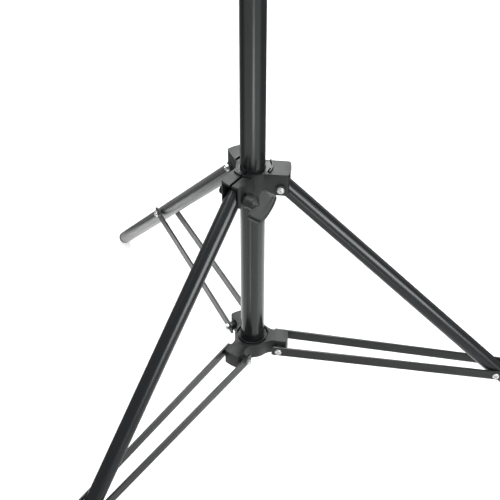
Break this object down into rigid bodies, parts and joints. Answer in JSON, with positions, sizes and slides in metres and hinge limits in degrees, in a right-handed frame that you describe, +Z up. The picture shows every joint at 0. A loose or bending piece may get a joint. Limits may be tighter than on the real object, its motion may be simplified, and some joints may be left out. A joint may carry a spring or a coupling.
{
  "type": "tripod stand",
  "caption": "Folding tripod stand: sliding collar with tube legs, paired flat strut bars, fixed lower collar, telescoping column with wing-knob locks and a round spigot on top.",
  "frame": {"origin": "centre of the flat underside of the plug in the column's lower end", "axes": "+Z up the column, +X towards the right leg; the floor is 0.225 m below the origin"},
  "size_m": [0.7854, 0.904, 1.0658],
  "materials": {
    "column_black": "satin black paint, thin wall",
    "leg_black": "glossy black paint, thin wall",
    "bar_black": "satin black paint",
    "collar_plastic": "fine moulded texture",
    "knob_plastic": "fine moulded texture",
    "liner_plastic": "smooth moulding",
    "foot_rubber": "smooth black rubber",
    "zinc": "bright zinc plating",
    "dark_steel": "black oxide",
    "shoe_brass": "plain",
    "spigot_steel": "turned and plated"
  },
  "bodies": {
    "root": {"column_tube": "column_black", "column_end_plug": "liner_plastic", "lower_collar": "collar_plastic", "lower_collar_screw": "zinc", "lock_collar_lower": "collar_plastic", "brake_shoe_lower": "shoe_brass", "strut_bolt_right": "zinc", "strut_nut_right": "zinc", "strut_bolt_back": "zinc", "strut_nut_back": "zinc", "strut_bolt_front": "zinc", "strut_nut_front": "zinc"},
    "slider": {"sliding_collar": "collar_plastic", "collar_liner": "liner_plastic", "clamp_bolt": "dark_steel", "clamp_washer": "dark_steel", "leg_bolt_right": "zinc", "leg_bolt_back": "zinc", "leg_nut_right": "zinc", "leg_nut_back": "zinc"},
    "clamp_knob": {"clamp_knob": "knob_plastic"},
    "lock_knob_lower": {"lock_knob_lower": "knob_plastic", "lock_screw_lower": "zinc"},
    "middle_carriage": {"middle_guide": "liner_plastic"},
    "middle": {"middle_tube": "column_black", "lock_collar_upper": "collar_plastic", "brake_shoe_upper": "shoe_brass"},
    "lock_knob_upper": {"lock_knob_upper": "knob_plastic", "lock_screw_upper": "zinc"},
    "top_carriage": {"top_guide": "liner_plastic"},
    "top": {"top_tube": "column_black", "spigot": "spigot_steel", "spigot_pin": "zinc", "spigot_stud": "spigot_steel"},
    "leg_right": {"leg_tube_right": "leg_black", "leg_plug_right": "liner_plastic", "leg_foot_right": "foot_rubber", "strut_pin_right": "zinc"},
    "strut_right": {"strut_bar_left_right": "bar_black", "strut_bar_right_right": "bar_black", "strut_pivot_head_right": "zinc", "strut_pivot_nut_right": "zinc"},
    "leg_back": {"leg_tube_back": "leg_black", "leg_plug_back": "liner_plastic", "leg_foot_back": "foot_rubber", "strut_pin_back": "zinc"},
    "strut_back": {"strut_bar_left_back": "bar_black", "strut_bar_right_back": "bar_black", "strut_pivot_head_back": "zinc", "strut_pivot_nut_back": "zinc"},
    "leg_front": {"leg_tube_front": "leg_black", "leg_plug_front": "liner_plastic", "leg_foot_front": "foot_rubber", "strut_pin_front": "zinc"},
    "strut_front": {"strut_bar_left_front": "bar_black", "strut_bar_right_front": "bar_black", "strut_pivot_head_front": "zinc", "strut_pivot_nut_front": "zinc"}
  },
  "joints": [
    {"name": "collar_slide", "type": "slide", "parent": "root", "child": "slider", "axis": [0, 0, 1], "range_m": [0, 0.39067]},
    {"name": "leg_hinge_right", "type": "hinge", "parent": "slider", "child": "leg_right", "pos_m": [0.03229, 0, 0.2579], "axis": [0, 1, 0], "range_deg": [0, 42.95]},
    {"name": "strut_hinge_right", "type": "hinge", "parent": "root", "child": "strut_right", "pos_m": [0.0333, 0, 0.0107], "axis": [0, -1, 0], "range_deg": [0, 90.42]},
    {"name": "leg_hinge_back", "type": "hinge", "parent": "slider", "child": "leg_back", "pos_m": [-0.01614, 0.02796, 0.2579], "axis": [-0.866, -0.5, 0], "range_deg": [0, 42.95]},
    {"name": "strut_hinge_back", "type": "hinge", "parent": "root", "child": "strut_back", "pos_m": [-0.01665, 0.02884, 0.0107], "axis": [0.866, 0.5, 0], "range_deg": [0, 90.42]},
    {"name": "leg_hinge_front", "type": "hinge", "parent": "slider", "child": "leg_front", "pos_m": [-0.01614, -0.02796, 0.2579], "axis": [0.866, -0.5, 0], "range_deg": [0, 42.95]},
    {"name": "strut_hinge_front", "type": "hinge", "parent": "root", "child": "strut_front", "pos_m": [-0.01665, -0.02884, 0.0107], "axis": [-0.866, 0.5, 0], "range_deg": [0, 90.42]},
    {"name": "clamp_knob_turn", "type": "hinge", "parent": "slider", "child": "clamp_knob", "pos_m": [-0.00168, -0.03631, 0.2579], "axis": [0.866, -0.5, 0], "range_deg": [0, 360]},
    {"name": "lock_knob_lower_turn", "type": "hinge", "parent": "root", "child": "lock_knob_lower", "pos_m": [0.0145, -0.02511, 0.71778], "axis": [0.5, -0.866, 0], "range_deg": [0, 360]},
    {"name": "lock_knob_upper_turn", "type": "hinge", "parent": "middle", "child": "lock_knob_upper", "pos_m": [0.0135, -0.02338, 0.76808], "axis": [0.5, -0.866, 0], "range_deg": [0, 360]},
    {"name": "middle_section_slide", "type": "slide", "parent": "root", "child": "middle_carriage", "axis": [0, 0, 1], "range_m": [0, 0.6]},
    {"name": "middle_section_turn", "type": "hinge", "parent": "middle_carriage", "child": "middle", "pos_m": [0, 0, 0.0346], "axis": [0, 0, 1], "continuous": true},
    {"name": "top_section_slide", "type": "slide", "parent": "middle", "child": "top_carriage", "axis": [0, 0, 1], "range_m": [0, 0.6]},
    {"name": "top_section_turn", "type": "hinge", "parent": "top_carriage", "child": "top", "pos_m": [0, 0, 0.0639], "axis": [0, 0, 1], "continuous": true}
  ],
  "couplings": [
    {"joint": "leg_hinge_right", "follows": "collar_slide", "rad_per_m": 1.9187},
    {"joint": "strut_hinge_right", "follows": "collar_slide", "rad_per_m": 4.0392},
    {"joint": "leg_hinge_back", "follows": "collar_slide", "rad_per_m": 1.9187},
    {"joint": "strut_hinge_back", "follows": "collar_slide", "rad_per_m": 4.0392},
    {"joint": "leg_hinge_front", "follows": "collar_slide", "rad_per_m": 1.9187},
    {"joint": "strut_hinge_front", "follows": "collar_slide", "rad_per_m": 4.0392}
  ]
}
